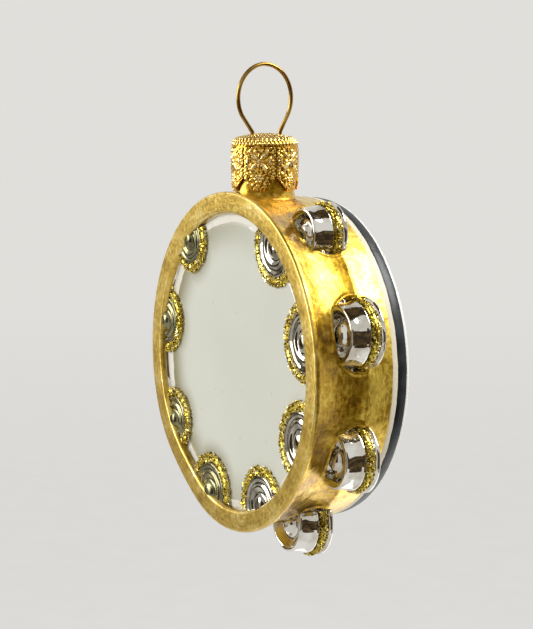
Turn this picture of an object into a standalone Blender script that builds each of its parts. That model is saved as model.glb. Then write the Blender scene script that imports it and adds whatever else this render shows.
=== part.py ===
"""Glass hanging ornament in the shape of a tambourine.

A mould-blown, silvered glass drum stands on edge, with a row of jingle pairs moulded into its
rim and its front face. Gold lacquer, enamel and glitter are laid over the glass as separate
coats. A sheet-metal crown cap closes the neck, and a sprung wire loop hangs it all up.

Metres, +Z up. The front face looks along -Y. The origin is the point that the ornament hangs
from: the inside of the wire loop's crown, straight above the neck's centre.

A profile is a list of (radius, height) points. On the drum, height runs along the drum's axis
towards the viewer, with 0 at the front of the ring, so a depth behind it is a negative height.
"""

import bmesh
import bpy
from math import acos, cos, hypot, pi, radians, sin

MM = 0.001

# Drum, outer surface
RING_RADIUS = 32.4 * MM          # front ring, outermost
RING_WIDTH = 4.3 * MM            # front ring's face, across
RING_LAND = 2.7 * MM             # flat part of that face
RING_ROUNDING = 0.8 * MM         # its outer edge
RECESS_DEPTH = 1.5 * MM          # painted face, behind the ring's front
CREASE_INSET = 0.8 * MM          # mould line where the hollowed wall ends, in from the ring's edge
CREASE_DEPTH = 11.0 * MM
WALL_HOLLOW = 0.9 * MM           # how far the front wall dips between ring and crease
WALL_END_INSET = 1.4 * MM        # where the gold ends, in from the ring's edge
WALL_END_DEPTH = 17.2 * MM
LINE_WIDTH = 1.0 * MM            # ivory line behind the gold
BAND_WIDTH = 2.2 * MM            # black band behind the line
BACK_INSET = 1.9 * MM            # band's back edge, in from the ring's edge
HEAD_ROUNDING = 0.9 * MM         # back head's rounded edge
HEAD_CROWN = 1.2 * MM            # how far the back head domes out past that edge
SILVER_STRIP = 1.2 * MM          # bare glass between the ring and the painted face

# Walls and clearances
GLASS_WALL = 0.9 * MM
COAT = 0.3 * MM                  # lacquer and enamel coats
GAP = 0.3 * MM                   # between pieces that rest on each other
SEAM = 0.1 * MM                  # between two coats that meet edge to edge

# Jingle stations: degrees clockwise from the neck as seen from the front, the jingle's size
# next to a full one, how far it sits outwards of the others, and how far back. They are about
# evenly spaced, with the place under the neck left out, and uneven as mould-blown glass is.
OUTER_STATIONS = ((35, 0.86, 0.0, 0.0), (75, 1.0, 0.0, 0.0), (119, 1.0, 0.0, 0.8 * MM),
                  (159, 1.0, 0.7 * MM, 0.5 * MM), (200, 0.9, 0.0, 0.0), (240, 1.0, 0.0, 0.0),
                  (280, 1.0, 0.0, 0.0), (320, 1.0, 0.0, 0.0))
INNER_STATIONS = ((35, 0.94, 0.0, 0.0), (76, 1.0, 0.0, 0.0), (115, 1.0, 0.0, 0.0),
                  (157, 0.97, 0.0, 0.0), (199, 0.97, 0.0, 0.0), (239, 0.8, 0.0, 0.0),
                  (281, 0.82, 0.0, 0.0), (322, 0.8, 0.0, 0.0))

# Outer jingle pair, turned about a line along the drum's axis
OUTER_CENTRE_INSET = 1.4 * MM    # jingles' middle, in from the ring's edge
OUTER_FRONT_DEPTH = 6.9 * MM
HUB_RADIUS = 2.4 * MM
HUB_FLAT = 1.9 * MM              # radius of the hub's flat top
HUB_HEIGHT = 0.8 * MM
STEP_RADIUS = 4.5 * MM
JINGLE_RADIUS = 6.4 * MM
FLANGE_DEPTH = 8.7 * MM          # where the front jingle reaches its full radius
JINGLE_EDGE = 0.5 * MM
JINGLE_BACK_DEPTH = 12.2 * MM
BACK_FACE_RADIUS = 4.8 * MM
OUTER_SWEEP = 6.2 * MM           # middle of the glitter bead

# Inner jingles, on the painted face
INNER_CENTRE_INSET = 0.1 * MM    # jingles' middle, in from the ring's inner edge
INNER_RADIUS = 5.9 * MM          # silver part, inside the glitter
INNER_SWEEP = 6.9 * MM           # middle of the glitter bead
INNER_RIM_RISE = 1.0 * MM        # above the painted face
INNER_HUB_RISE = 1.6 * MM
INNER_HUB_RADIUS = 2.4 * MM
INNER_HUB_FLAT = 1.7 * MM        # radius of the hub's flat top

# Glitter beads
BEAD_RADIUS = 0.7 * MM

# Neck
NECK_RADIUS = 5.6 * MM
NECK_DEPTH = 8.0 * MM            # neck's axis behind the ring's front
NECK_FOOT = 8.4 * MM             # how far the neck's tube reaches in from the ring's edge
CAP_TOP_STAND = 10.8 * MM        # cap's top above the ring's edge

# Cap
CAP_RADIUS = 6.35 * MM
CAP_HEIGHT = 10.7 * MM
CAP_SHEET = 0.3 * MM
CAP_ROUNDING = 1.2 * MM
CAP_CROWN = 0.6 * MM             # how far the top domes up over its rounded edge
PETALS = 6
PETAL_TURN = radians(50)         # first slit, round from +X
SLIT_WIDTH = 0.4 * MM
SLIT_TOP = 2.4 * MM              # below the cap's top
NOTCH_HEIGHT = 2.5 * MM
PETAL_TIP = 1.6 * MM             # width of a petal's blunt end

# Wire hanger
WIRE_RADIUS = 0.4 * MM
WIRE_SPACING = 6.0 * MM          # between the two holes in the cap
WIRE_SHIFT = 0.3 * MM            # holes' middle behind the cap's centre
LOOP_HALF_WIDTH = 5.75 * MM      # wire's centre line
LOOP_HALF_HEIGHT = 6.4 * MM
LOOP_RISE = 12.7 * MM            # inside of the crown above the cap's top
LOOP_OPEN_ANGLE = radians(30)    # below the horizontal, where the wire leaves the loop
LEG_LENGTH = 13.0 * MM           # below the cap's top
LEG_SPLAY = 0.45 * MM            # how far each leg springs outwards

# Facets
DRUM_STEPS = 40
NECK_STEPS = 20
JINGLE_STEPS = 12
CAP_STEPS = 24
BEAD_STEPS = 8
ARC_POINTS = 3
WALL_STEPS = 6                   # along the hollowed wall
HEAD_RINGS = 3                   # across the back head
LOOP_STEPS = 12                  # round half of the wire loop
WELD = 0.001 * MM                # points nearer than this are one

# Worked out from the sizes above
CREASE_RADIUS = RING_RADIUS - CREASE_INSET
WALL_END_RADIUS = RING_RADIUS - WALL_END_INSET
BACK_RADIUS = RING_RADIUS - BACK_INSET
FACE_RADIUS = RING_RADIUS - RING_WIDTH
OUTER_CENTRE_RADIUS = RING_RADIUS - OUTER_CENTRE_INSET
INNER_CENTRE_RADIUS = FACE_RADIUS - INNER_CENTRE_INSET
NECK_ROOT = RING_RADIUS - NECK_FOOT
CAP_TOP_RISE = RING_RADIUS + CAP_TOP_STAND
CAP_TOP_Z = -LOOP_RISE
PIVOT_Z = CAP_TOP_Z - CAP_SHEET / 2
DRUM_Z = CAP_TOP_Z - CAP_TOP_RISE
NECK_TOP_RISE = CAP_TOP_RISE - CAP_CROWN - CAP_SHEET - GAP
HOLE_RADIUS = WIRE_RADIUS + GAP
INNER_TRIM_RADIUS = FACE_RADIUS - GAP
UNDER_COAT = COAT + GAP


# ---------------------------------------------------------------- scene and materials

def clear_scene():
    for item in list(bpy.data.objects):
        bpy.data.objects.remove(item, do_unlink=True)


def make_collection(name):
    collection = bpy.data.collections.new(name)
    bpy.context.scene.collection.children.link(collection)
    return collection


def make_material(name, colour, roughness, metallic=0.0):
    material = bpy.data.materials.new(name)
    material.use_nodes = True
    shader = material.node_tree.nodes["Principled BSDF"]
    shader.inputs["Base Color"].default_value = (*colour, 1.0)
    shader.inputs["Roughness"].default_value = roughness
    shader.inputs["Metallic"].default_value = metallic
    material.diffuse_color = (*colour, 1.0)
    return material


def add_object(name, data, collection, parent=None, location=(0.0, 0.0, 0.0)):
    item = bpy.data.objects.new(name, data)
    collection.objects.link(item)
    item.parent = parent
    item.location = location
    return item


def as_tool(item):
    """Mark an object that only shapes another one."""
    item.hide_render = True
    item.display_type = 'WIRE'
    return item


# ---------------------------------------------------------------- profiles

def quarter_arc(centre, across, along, start, count=ARC_POINTS):
    """Points of a quarter ellipse, clockwise from the angle start."""
    points = []
    for step in range(count + 1):
        angle = start - (pi / 2) * step / count
        points.append((centre[0] + across * cos(angle), centre[1] + along * sin(angle)))
    return points


def offset_path(path, distance):
    """Move a profile inwards, to the right of its direction, by distance."""
    normals = []
    for (r0, h0), (r1, h1) in zip(path, path[1:]):
        length = hypot(r1 - r0, h1 - h0)
        normals.append(((h1 - h0) / length, (r0 - r1) / length))
    moved = []
    for index, (r, h) in enumerate(path):
        before = normals[max(index - 1, 0)]
        after = normals[min(index, len(normals) - 1)]
        mitre = 1 + before[0] * after[0] + before[1] * after[1]
        new_r = r + distance * (before[0] + after[0]) / mitre
        new_h = h + distance * (before[1] + after[1]) / mitre
        on_axis = r == 0.0
        moved.append((0.0 if on_axis else new_r, new_h))
    return moved


def face_path(radius):
    return [(0.0, -RECESS_DEPTH), (radius, -RECESS_DEPTH)]


def ring_and_wall_path():
    """The gold surface: over the front ring, down the hollowed wall, past the crease."""
    land_out = RING_RADIUS - RING_ROUNDING
    land_in = land_out - RING_LAND
    path = quarter_arc((land_in, -RECESS_DEPTH), land_in - FACE_RADIUS, RECESS_DEPTH, pi)
    path += quarter_arc((land_out, -RING_ROUNDING), RING_ROUNDING, RING_ROUNDING, pi / 2)
    for step in range(1, WALL_STEPS + 1):
        along = step / WALL_STEPS
        straight = RING_RADIUS + (CREASE_RADIUS - RING_RADIUS) * along
        depth = RING_ROUNDING + (CREASE_DEPTH - RING_ROUNDING) * along
        path.append((straight - WALL_HOLLOW * sin(pi * along), -depth))
    path.append((WALL_END_RADIUS, -WALL_END_DEPTH))
    return path


def edge_path(near, far):
    """A straight stretch of the side behind the gold, between two distances from its end."""
    slope = (BACK_RADIUS - WALL_END_RADIUS) / (LINE_WIDTH + BAND_WIDTH)
    return [(WALL_END_RADIUS + slope * near, -WALL_END_DEPTH - near),
            (WALL_END_RADIUS + slope * far, -WALL_END_DEPTH - far)]


def head_path():
    """The back head, from the band's back edge over its rounding to the crown."""
    edge_depth = WALL_END_DEPTH + LINE_WIDTH + BAND_WIDTH
    flat_radius = BACK_RADIUS - HEAD_ROUNDING
    path = quarter_arc((flat_radius, -edge_depth), HEAD_ROUNDING, HEAD_ROUNDING, 0.0)
    for step in range(1, HEAD_RINGS + 1):
        along = step / HEAD_RINGS
        radius = flat_radius * (1 - along)
        depth = edge_depth + HEAD_ROUNDING + HEAD_CROWN * (1 - (1 - along) ** 2)
        path.append((radius, -depth))
    return path


def drum_path(inset):
    """The drum's whole outline, front centre to back centre, moved in by inset."""
    side = edge_path(0.0, LINE_WIDTH) + edge_path(LINE_WIDTH, LINE_WIDTH + BAND_WIDTH)
    whole = [(0.0, -RECESS_DEPTH)] + ring_and_wall_path() + side + head_path()
    kept = [whole[0]]
    for point in whole[1:]:
        if hypot(point[0] - kept[-1][0], point[1] - kept[-1][1]) > WELD:
            kept.append(point)
    return offset_path(kept, inset)


def hollow_path():
    """Inside of the glass wall. It stops behind the face, so the ring itself is solid."""
    floor_height = -RECESS_DEPTH - UNDER_COAT - GLASS_WALL
    inside = drum_path(UNDER_COAT + GLASS_WALL)
    return [point for point in inside if point[1] < floor_height + SEAM]


def coat_section(path):
    """Closed section of a coat whose outer surface is the path."""
    return path + offset_path(path, COAT)[::-1]


def outer_jingle_path():
    """A pair of jingles: hub, stepped front plate, groove for the glitter, back plate."""
    bead_depth = outer_bead_depth()
    groove_radius = OUTER_SWEEP - BEAD_RADIUS - GAP
    groove_half = BEAD_RADIUS + GAP
    hub_end = OUTER_FRONT_DEPTH + HUB_HEIGHT
    return [(0.0, -OUTER_FRONT_DEPTH),
            (HUB_FLAT, -OUTER_FRONT_DEPTH),
            (HUB_RADIUS, -OUTER_FRONT_DEPTH - HUB_HEIGHT / 4),
            (HUB_RADIUS, -hub_end),
            (STEP_RADIUS, -hub_end - JINGLE_EDGE),
            (JINGLE_RADIUS - JINGLE_EDGE, -FLANGE_DEPTH + JINGLE_EDGE),
            (JINGLE_RADIUS, -FLANGE_DEPTH),
            (JINGLE_RADIUS, -bead_depth + groove_half),
            (groove_radius, -bead_depth + groove_half / 2),
            (groove_radius, -bead_depth - groove_half / 2),
            (JINGLE_RADIUS, -bead_depth - groove_half),
            (JINGLE_RADIUS, -bead_depth - groove_half - JINGLE_EDGE / 2),
            (BACK_FACE_RADIUS, -JINGLE_BACK_DEPTH),
            (0.0, -JINGLE_BACK_DEPTH)]


def outer_bead_depth():
    return FLANGE_DEPTH + JINGLE_EDGE + GAP + BEAD_RADIUS


def inner_jingle_path():
    """A jingle's face on the front: a shallow dome with a groove round its hub."""
    rim_height = INNER_RIM_RISE - RECESS_DEPTH
    hub_height = INNER_HUB_RISE - RECESS_DEPTH
    root = -RECESS_DEPTH - UNDER_COAT - GLASS_WALL / 2
    groove = rim_height - JINGLE_EDGE / 2
    return [(0.0, hub_height),
            (INNER_HUB_FLAT, hub_height),
            (INNER_HUB_RADIUS, groove),
            (INNER_HUB_RADIUS + JINGLE_EDGE, groove),
            (INNER_RADIUS - JINGLE_EDGE * 2, rim_height),
            (INNER_RADIUS, rim_height - JINGLE_EDGE),
            (INNER_RADIUS, root),
            (0.0, root)]


def disc_path(radius, near, far):
    return [(0.0, near), (radius, near), (radius, far), (0.0, far)]


# ---------------------------------------------------------------- shapes

def turned(name, path, collection, parent=None, location=(0.0, 0.0, 0.0),
           steps=JINGLE_STEPS, closed=False):
    """Turn a profile about the object's own Z axis."""
    edges = [(index, index + 1) for index in range(len(path) - 1)]
    if closed:
        edges.append((len(path) - 1, 0))
    mesh = bpy.data.meshes.new(name)
    mesh.from_pydata([(r, 0.0, h) for r, h in path], edges, [])
    item = add_object(name, mesh, collection, parent, location)
    screw = item.modifiers.new("turn", 'SCREW')
    screw.steps = steps
    screw.render_steps = steps
    screw.use_merge_vertices = True
    screw.merge_threshold = WELD
    screw.use_smooth_shade = True
    return item


def boolean(item, operation, tool):
    """Cut, join or trim with one object or a whole collection."""
    modifier = item.modifiers.new(operation.lower(), 'BOOLEAN')
    modifier.operation = operation
    modifier.solver = 'EXACT'
    if isinstance(tool, bpy.types.Collection):
        modifier.operand_type = 'COLLECTION'
        modifier.collection = tool
    else:
        modifier.object = tool


def wire_object(name, points, radius, collection, parent=None, location=(0.0, 0.0, 0.0)):
    curve = bpy.data.curves.new(name, 'CURVE')
    curve.dimensions = '3D'
    curve.bevel_depth = radius
    curve.bevel_resolution = 2
    curve.use_fill_caps = True
    spline = curve.splines.new('POLY')
    spline.points.add(len(points) - 1)
    for spot, point in zip(spline.points, points):
        spot.co = (*point, 1.0)
    return add_object(name, curve, collection, parent, location)


def bead_arc(centre_radius, sweep, limit_radius, height, direction):
    """Centre line of a glitter bead round a jingle at (0, centre_radius).

    It runs outwards (direction 1) or inwards (-1), as far as a circle round the drum's axis.
    """
    span = limit_radius ** 2 - centre_radius ** 2 - sweep ** 2
    half_angle = acos(direction * span / (2 * centre_radius * sweep))
    points = []
    for step in range(BEAD_STEPS + 1):
        angle = half_angle * (2 * step / BEAD_STEPS - 1)
        points.append((sweep * sin(angle), centre_radius + direction * sweep * cos(angle), height))
    return points


# ---------------------------------------------------------------- glass drum

def station_empties(name, stations, drum, collection):
    """One empty per jingle, turned about the drum's axis to its place."""
    empties = []
    for number, (angle, size, outwards, back) in enumerate(stations, 1):
        empty = add_object(f"{name}_{number}", None, collection, drum)
        empty.rotation_euler = (0.0, 0.0, -radians(angle))
        empties.append(empty)
    return empties


def tools_at_stations(name, path, centre_radius, stations, empties, collection):
    """A turned shape at every station, at that station's size."""
    items = []
    for number, (station, empty) in enumerate(zip(stations, empties), 1):
        angle, size, outwards, back = station
        item = as_tool(turned(f"{name}_{number}", path, collection, empty,
                              (0.0, centre_radius + outwards, -back)))
        item.scale = (size, size, 1.0)
        items.append(item)
    return items


def make_glass(parts, tools, drum, rims, faces, material):
    glass = turned("glass_body", drum_path(UNDER_COAT), parts, drum, steps=DRUM_STEPS)
    glass.data.materials.append(material)
    shapes = make_collection("glass_shapes")
    hollows = make_collection("glass_hollows")

    trim = as_tool(turned("face_trim", disc_path(INNER_TRIM_RADIUS, 0.0, -CREASE_DEPTH),
                          tools, drum, steps=DRUM_STEPS))
    hollow_trim = as_tool(turned("hollow_trim",
                                 disc_path(INNER_TRIM_RADIUS - GLASS_WALL, 0.0, -CREASE_DEPTH),
                                 tools, drum, steps=DRUM_STEPS))
    inner_root = -RECESS_DEPTH - UNDER_COAT - GLASS_WALL * 2
    inner_hollow = disc_path(INNER_RADIUS - GLASS_WALL,
                             INNER_RIM_RISE - RECESS_DEPTH - JINGLE_EDGE / 2 - GLASS_WALL, inner_root)
    outer_hollow = disc_path(OUTER_SWEEP - BEAD_RADIUS - GAP - GLASS_WALL,
                             -OUTER_FRONT_DEPTH - HUB_HEIGHT - JINGLE_EDGE - GLASS_WALL,
                             -JINGLE_BACK_DEPTH + GLASS_WALL)
    tools_at_stations("outer_jingle", outer_jingle_path(), OUTER_CENTRE_RADIUS,
                      OUTER_STATIONS, rims, shapes)
    tools_at_stations("outer_hollow", outer_hollow, OUTER_CENTRE_RADIUS,
                      OUTER_STATIONS, rims, hollows)
    for face in tools_at_stations("inner_jingle", inner_jingle_path(), INNER_CENTRE_RADIUS,
                                  INNER_STATIONS, faces, shapes):
        boolean(face, 'INTERSECT', trim)
    for room in tools_at_stations("inner_hollow", inner_hollow, INNER_CENTRE_RADIUS,
                                  INNER_STATIONS, faces, hollows):
        boolean(room, 'INTERSECT', hollow_trim)

    neck_turn = (radians(-90), 0.0, 0.0)
    neck_spot = (0.0, 0.0, -NECK_DEPTH)
    neck = as_tool(turned("neck", disc_path(NECK_RADIUS, NECK_TOP_RISE, NECK_ROOT),
                          shapes, drum, neck_spot, NECK_STEPS))
    neck.rotation_euler = neck_turn
    bore = as_tool(turned("neck_bore",
                          disc_path(NECK_RADIUS - GLASS_WALL, CAP_TOP_RISE, NECK_ROOT),
                          hollows, drum, neck_spot, NECK_STEPS))
    bore.rotation_euler = neck_turn
    as_tool(turned("drum_hollow", hollow_path(), hollows, drum, steps=DRUM_STEPS))

    boolean(glass, 'UNION', shapes)
    boolean(glass, 'DIFFERENCE', hollows)
    return glass


# ---------------------------------------------------------------- coats and glitter

def make_coats(parts, drum, rims, faces, materials):
    """Lacquer and enamel over the glass, cleared round the jingles and the neck."""
    wall_cutters = make_collection("wall_cutters")
    face_cutters = make_collection("face_cutters")
    wall_opening = disc_path(JINGLE_RADIUS + GAP, GAP - OUTER_FRONT_DEPTH, -JINGLE_BACK_DEPTH - GAP)
    tools_at_stations("wall_opening", wall_opening, OUTER_CENTRE_RADIUS,
                      OUTER_STATIONS, rims, wall_cutters)
    face_opening = disc_path(INNER_RADIUS + GAP, 0.0, -CREASE_DEPTH)
    tools_at_stations("face_opening", face_opening, INNER_CENTRE_RADIUS,
                      INNER_STATIONS, faces, face_cutters)
    neck = as_tool(turned("neck_opening",
                          disc_path(NECK_RADIUS + GAP, CAP_TOP_RISE, NECK_ROOT),
                          wall_cutters, drum, (0.0, 0.0, -NECK_DEPTH), NECK_STEPS))
    neck.rotation_euler = (radians(-90), 0.0, 0.0)

    gold = turned("gold_lacquer", coat_section(ring_and_wall_path()), parts, drum,
                  steps=DRUM_STEPS, closed=True)
    gold.data.materials.append(materials["gold"])
    boolean(gold, 'DIFFERENCE', wall_cutters)

    face_outline = face_path(FACE_RADIUS - SILVER_STRIP)
    face_back = [(r, h - COAT) for r, h in reversed(face_outline)]
    face = turned("face_enamel", face_outline + face_back, parts, drum, steps=DRUM_STEPS)
    face.data.materials.append(materials["pearl"])
    boolean(face, 'DIFFERENCE', face_cutters)

    line = turned("ivory_line", coat_section(edge_path(SEAM, LINE_WIDTH)), parts, drum,
                  steps=DRUM_STEPS, closed=True)
    line.data.materials.append(materials["ivory"])
    band = turned("black_band",
                  coat_section(edge_path(LINE_WIDTH + SEAM, LINE_WIDTH + BAND_WIDTH - SEAM)),
                  parts, drum, steps=DRUM_STEPS, closed=True)
    band.data.materials.append(materials["black"])
    back = turned("back_enamel", offset_path(head_path(), COAT)[::-1] + head_path(), parts, drum,
                  steps=DRUM_STEPS)
    back.data.materials.append(materials["head"])


def make_glitter(parts, rims, faces, material):
    """A bead of glitter round every jingle, outside on the rim and inside on the face."""
    wall_limit = CREASE_RADIUS + GAP + BEAD_RADIUS
    face_limit = FACE_RADIUS - GAP - BEAD_RADIUS
    face_height = GAP + BEAD_RADIUS - RECESS_DEPTH
    beads = []
    for number, (angle, size, outwards, back) in enumerate(OUTER_STATIONS, 1):
        points = bead_arc(OUTER_CENTRE_RADIUS + outwards, OUTER_SWEEP * size, wall_limit,
                          -outer_bead_depth() - back, 1)
        beads.append((f"outer_glitter_{number}", points, rims[number - 1]))
    for number, (angle, size, outwards, back) in enumerate(INNER_STATIONS, 1):
        points = bead_arc(INNER_CENTRE_RADIUS + outwards, INNER_SWEEP * size, face_limit,
                          face_height - back, -1)
        beads.append((f"inner_glitter_{number}", points, faces[number - 1]))
    for name, points, empty in beads:
        bead = wire_object(name, points, BEAD_RADIUS, parts, empty)
        bead.data.materials.append(material)


# ---------------------------------------------------------------- cap and hanger

def cap_section():
    """Sheet-metal cup, open below, as a closed profile."""
    top = CAP_TOP_Z - PIVOT_Z
    flat_radius = CAP_RADIUS - CAP_ROUNDING
    outer = [(0.0, top), (flat_radius / 2, top - CAP_CROWN / 4)]
    outer += quarter_arc((flat_radius, top - CAP_CROWN - CAP_ROUNDING),
                         CAP_ROUNDING, CAP_ROUNDING, pi / 2)
    outer.append((CAP_RADIUS, top - CAP_HEIGHT))
    return outer + offset_path(outer, CAP_SHEET)[::-1]


def petal_cutter(tools, cap, turn):
    """A slit that opens into a notch between two petals, cut through one side of the cap."""
    top = CAP_TOP_Z - PIVOT_Z
    end = top - CAP_HEIGHT - GAP
    half_slit = SLIT_WIDTH / 2
    half_notch = (2 * pi * CAP_RADIUS / PETALS - PETAL_TIP) / 2
    outline = [(-half_slit, top - SLIT_TOP), (half_slit, top - SLIT_TOP),
               (half_slit, top - CAP_HEIGHT + NOTCH_HEIGHT), (half_notch, end),
               (-half_notch, end), (-half_slit, top - CAP_HEIGHT + NOTCH_HEIGHT)]
    curve = bpy.data.curves.new("petal_slit", 'CURVE')
    curve.dimensions = '2D'
    curve.fill_mode = 'BOTH'
    curve.extrude = CAP_RADIUS / 2
    spline = curve.splines.new('POLY')
    spline.points.add(len(outline) - 1)
    for spot, (across, height) in zip(spline.points, outline):
        spot.co = (across, height, 0.0, 1.0)
    spline.use_cyclic_u = True
    flat = add_object("petal_slit", curve, tools)
    mesh = bpy.data.meshes.new_from_object(flat.evaluated_get(
        bpy.context.evaluated_depsgraph_get()))
    bpy.data.objects.remove(flat)
    weld_mesh(mesh)
    cutter = as_tool(add_object("petal_cutter", mesh, tools, cap))
    cutter.rotation_euler = (radians(90), 0.0, turn + radians(90))
    cutter.location = (CAP_RADIUS * cos(turn), CAP_RADIUS * sin(turn), 0.0)


def weld_mesh(mesh):
    work = bmesh.new()
    work.from_mesh(mesh)
    bmesh.ops.remove_doubles(work, verts=work.verts, dist=WELD)
    bmesh.ops.recalc_face_normals(work, faces=work.faces)
    work.to_mesh(mesh)
    work.free()


def make_cap(parts, pivot, material):
    cap = turned("cap", cap_section(), parts, pivot, steps=CAP_STEPS)
    cap.data.materials.append(material)
    cutters = make_collection("cap_cutters")
    for number in range(PETALS):
        petal_cutter(cutters, cap, PETAL_TURN + 2 * pi * number / PETALS)
    for side in (-1, 1):
        as_tool(turned("wire_hole", disc_path(HOLE_RADIUS, CAP_SHEET * 3, -CAP_SHEET * 3),
                       cutters, cap, (0.0, WIRE_SHIFT + side * WIRE_SPACING / 2, 0.0),
                       BEAD_STEPS))
    boolean(cap, 'DIFFERENCE', cutters)
    return cap


def hanger_half(side):
    """Centre line of half of the wire, from the crown down one leg."""
    centre = WIRE_RADIUS - LOOP_HALF_HEIGHT
    hole = WIRE_SHIFT + side * WIRE_SPACING / 2
    half = []
    for step in range(LOOP_STEPS + 1):
        angle = pi / 2 - (pi / 2 + LOOP_OPEN_ANGLE) * step / LOOP_STEPS
        half.append((0.0, side * LOOP_HALF_WIDTH * cos(angle),
                     centre + LOOP_HALF_HEIGHT * sin(angle)))
    half.append((0.0, hole, CAP_TOP_Z + WIRE_RADIUS))
    half.append((0.0, hole, CAP_TOP_Z - CAP_SHEET - WIRE_RADIUS))
    half.append((0.0, hole + side * LEG_SPLAY, CAP_TOP_Z - LEG_LENGTH))
    return half


def hanger_points():
    """The whole wire, from one leg's end over the loop to the other's."""
    return hanger_half(-1)[:0:-1] + hanger_half(1)


# ---------------------------------------------------------------- whole ornament

def main():
    clear_scene()
    parts = make_collection("tambourine_ornament")
    tools = make_collection("cutters")
    materials = {
        "silver": make_material("silvered_glass", (0.80, 0.80, 0.80), 0.06, 1.0),
        "gold": make_material("gold_lacquer", (0.78, 0.55, 0.12), 0.28, 0.9),
        "pearl": make_material("pearl_enamel", (0.78, 0.79, 0.73), 0.35),
        "ivory": make_material("ivory_enamel", (0.86, 0.83, 0.74), 0.3),
        "head": make_material("head_enamel", (0.84, 0.82, 0.75), 0.35),
        "black": make_material("black_enamel", (0.012, 0.016, 0.02), 0.2),
        "glitter": make_material("gold_glitter", (0.62, 0.46, 0.09), 0.45, 0.8),
        "cap": make_material("cap_brass", (0.80, 0.50, 0.14), 0.3, 1.0),
        "wire": make_material("wire_brass", (0.72, 0.56, 0.25), 0.25, 1.0),
    }
    hanger = wire_object("hanger_wire", hanger_points(), WIRE_RADIUS, parts)
    hanger.data.materials.append(materials["wire"])

    pivot = add_object("hanger_pivot", None, parts, None, (0.0, 0.0, PIVOT_Z))
    make_cap(parts, pivot, materials["cap"])

    neck_slide = add_object("neck_slide", None, parts, pivot,
                            (0.0, 0.0, DRUM_Z + NECK_TOP_RISE - PIVOT_Z))
    drum = add_object("drum_axis", None, parts, neck_slide, (0.0, -NECK_DEPTH, -NECK_TOP_RISE))
    drum.rotation_euler = (radians(90), 0.0, 0.0)
    rims = station_empties("outer_station", OUTER_STATIONS, drum, parts)
    faces = station_empties("inner_station", INNER_STATIONS, drum, parts)
    make_glass(parts, tools, drum, rims, faces, materials["silver"])
    make_coats(parts, drum, rims, faces, materials)
    make_glitter(parts, rims, faces, materials["glitter"])
    bpy.context.view_layer.update()


main()
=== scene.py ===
# %% [markdown]
# # A blown-glass tambourine ornament
# The object is a hollow glass bauble in the shape of a tambourine. It was blown into a mould,
# silvered inside, then painted by hand: gold on the rim, pearl white on the face, a black band
# at the back. Gold glitter sits round every moulded jingle. This lesson starts from the packed
# model, which fixes every place and size, and builds each finish on top of it.

# %% Load the frame
from math import asin, atan2, cos, exp, hypot, pi, radians, sin
from random import Random
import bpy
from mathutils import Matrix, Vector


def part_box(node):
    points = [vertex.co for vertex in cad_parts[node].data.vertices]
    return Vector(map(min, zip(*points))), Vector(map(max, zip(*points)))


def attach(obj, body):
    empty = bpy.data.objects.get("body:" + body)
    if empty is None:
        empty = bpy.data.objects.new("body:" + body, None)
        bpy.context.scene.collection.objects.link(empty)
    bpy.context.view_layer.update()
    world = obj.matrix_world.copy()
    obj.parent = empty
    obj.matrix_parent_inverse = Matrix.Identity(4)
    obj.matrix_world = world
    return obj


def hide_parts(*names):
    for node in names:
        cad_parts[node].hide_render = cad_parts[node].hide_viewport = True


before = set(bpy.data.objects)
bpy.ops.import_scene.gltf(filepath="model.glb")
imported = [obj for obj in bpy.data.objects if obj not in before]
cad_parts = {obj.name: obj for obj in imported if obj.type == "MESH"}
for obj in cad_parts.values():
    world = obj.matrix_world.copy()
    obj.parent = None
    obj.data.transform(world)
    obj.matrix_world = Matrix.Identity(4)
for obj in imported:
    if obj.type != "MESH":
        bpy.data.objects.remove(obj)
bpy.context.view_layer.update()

import bmesh
import bpy
from mathutils import Matrix, Vector, noise

MM = 0.001
noise.seed_set(7)  # the vector noise would otherwise start from the clock

# %% [markdown]
# ## Where the drum is
# The gold coat's box gives the drum's centre, its front plane and its radius. Everything on the
# drum is modelled lying down, with its axis along Z and its front up, because bmesh spins are
# easiest to read that way. One matrix then stands it up in its place.

# %% The drum's own space
gold_low, gold_high = (Vector(corner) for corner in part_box("gold_lacquer"))
RING_RADIUS = (gold_high.z - gold_low.z) / 2
DRUM_CENTRE = Vector((0.0, gold_low.y, (gold_low.z + gold_high.z) / 2))
STAND_UP = Matrix.Translation(DRUM_CENTRE) @ Matrix.Rotation(radians(90), 4, 'X')

cap_low, cap_high = (Vector(corner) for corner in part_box("cap"))
CAP_TOP = cap_high.z
CAP_RADIUS = (cap_high.x - cap_low.x) / 2
print("ring radius, mm:", round(RING_RADIUS / MM, 2))

# The same driving sizes as the solids, in metres
RING_WIDTH = 4.3 * MM
RING_LAND = 3.05 * MM
RING_ROUNDING = 0.45 * MM
RING_SHOULDER = 0.8 * MM
RECESS_DEPTH = 1.5 * MM
FACE_RADIUS = RING_RADIUS - RING_WIDTH
CREASE_RADIUS = RING_RADIUS - 0.8 * MM
CREASE_DEPTH = 11.0 * MM
WALL_HOLLOW = 0.9 * MM
WALL_END_RADIUS = RING_RADIUS - 1.4 * MM
WALL_END_DEPTH = 17.2 * MM
LINE_WIDTH = 1.0 * MM
BAND_WIDTH = 2.2 * MM
BACK_RADIUS = RING_RADIUS - 1.9 * MM
BACK_DEPTH = WALL_END_DEPTH + LINE_WIDTH + BAND_WIDTH
HEAD_ROUNDING = 0.9 * MM
HEAD_CROWN = 1.2 * MM
STRIP_WIDTH = 1.2 * MM
FACE_EDGE = FACE_RADIUS - STRIP_WIDTH
NECK_RADIUS = 5.6 * MM
GLASS_WALL = 0.9 * MM
OUTER_CENTRE = RING_RADIUS - 1.4 * MM
INNER_CENTRE = FACE_RADIUS - 0.1 * MM

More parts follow.
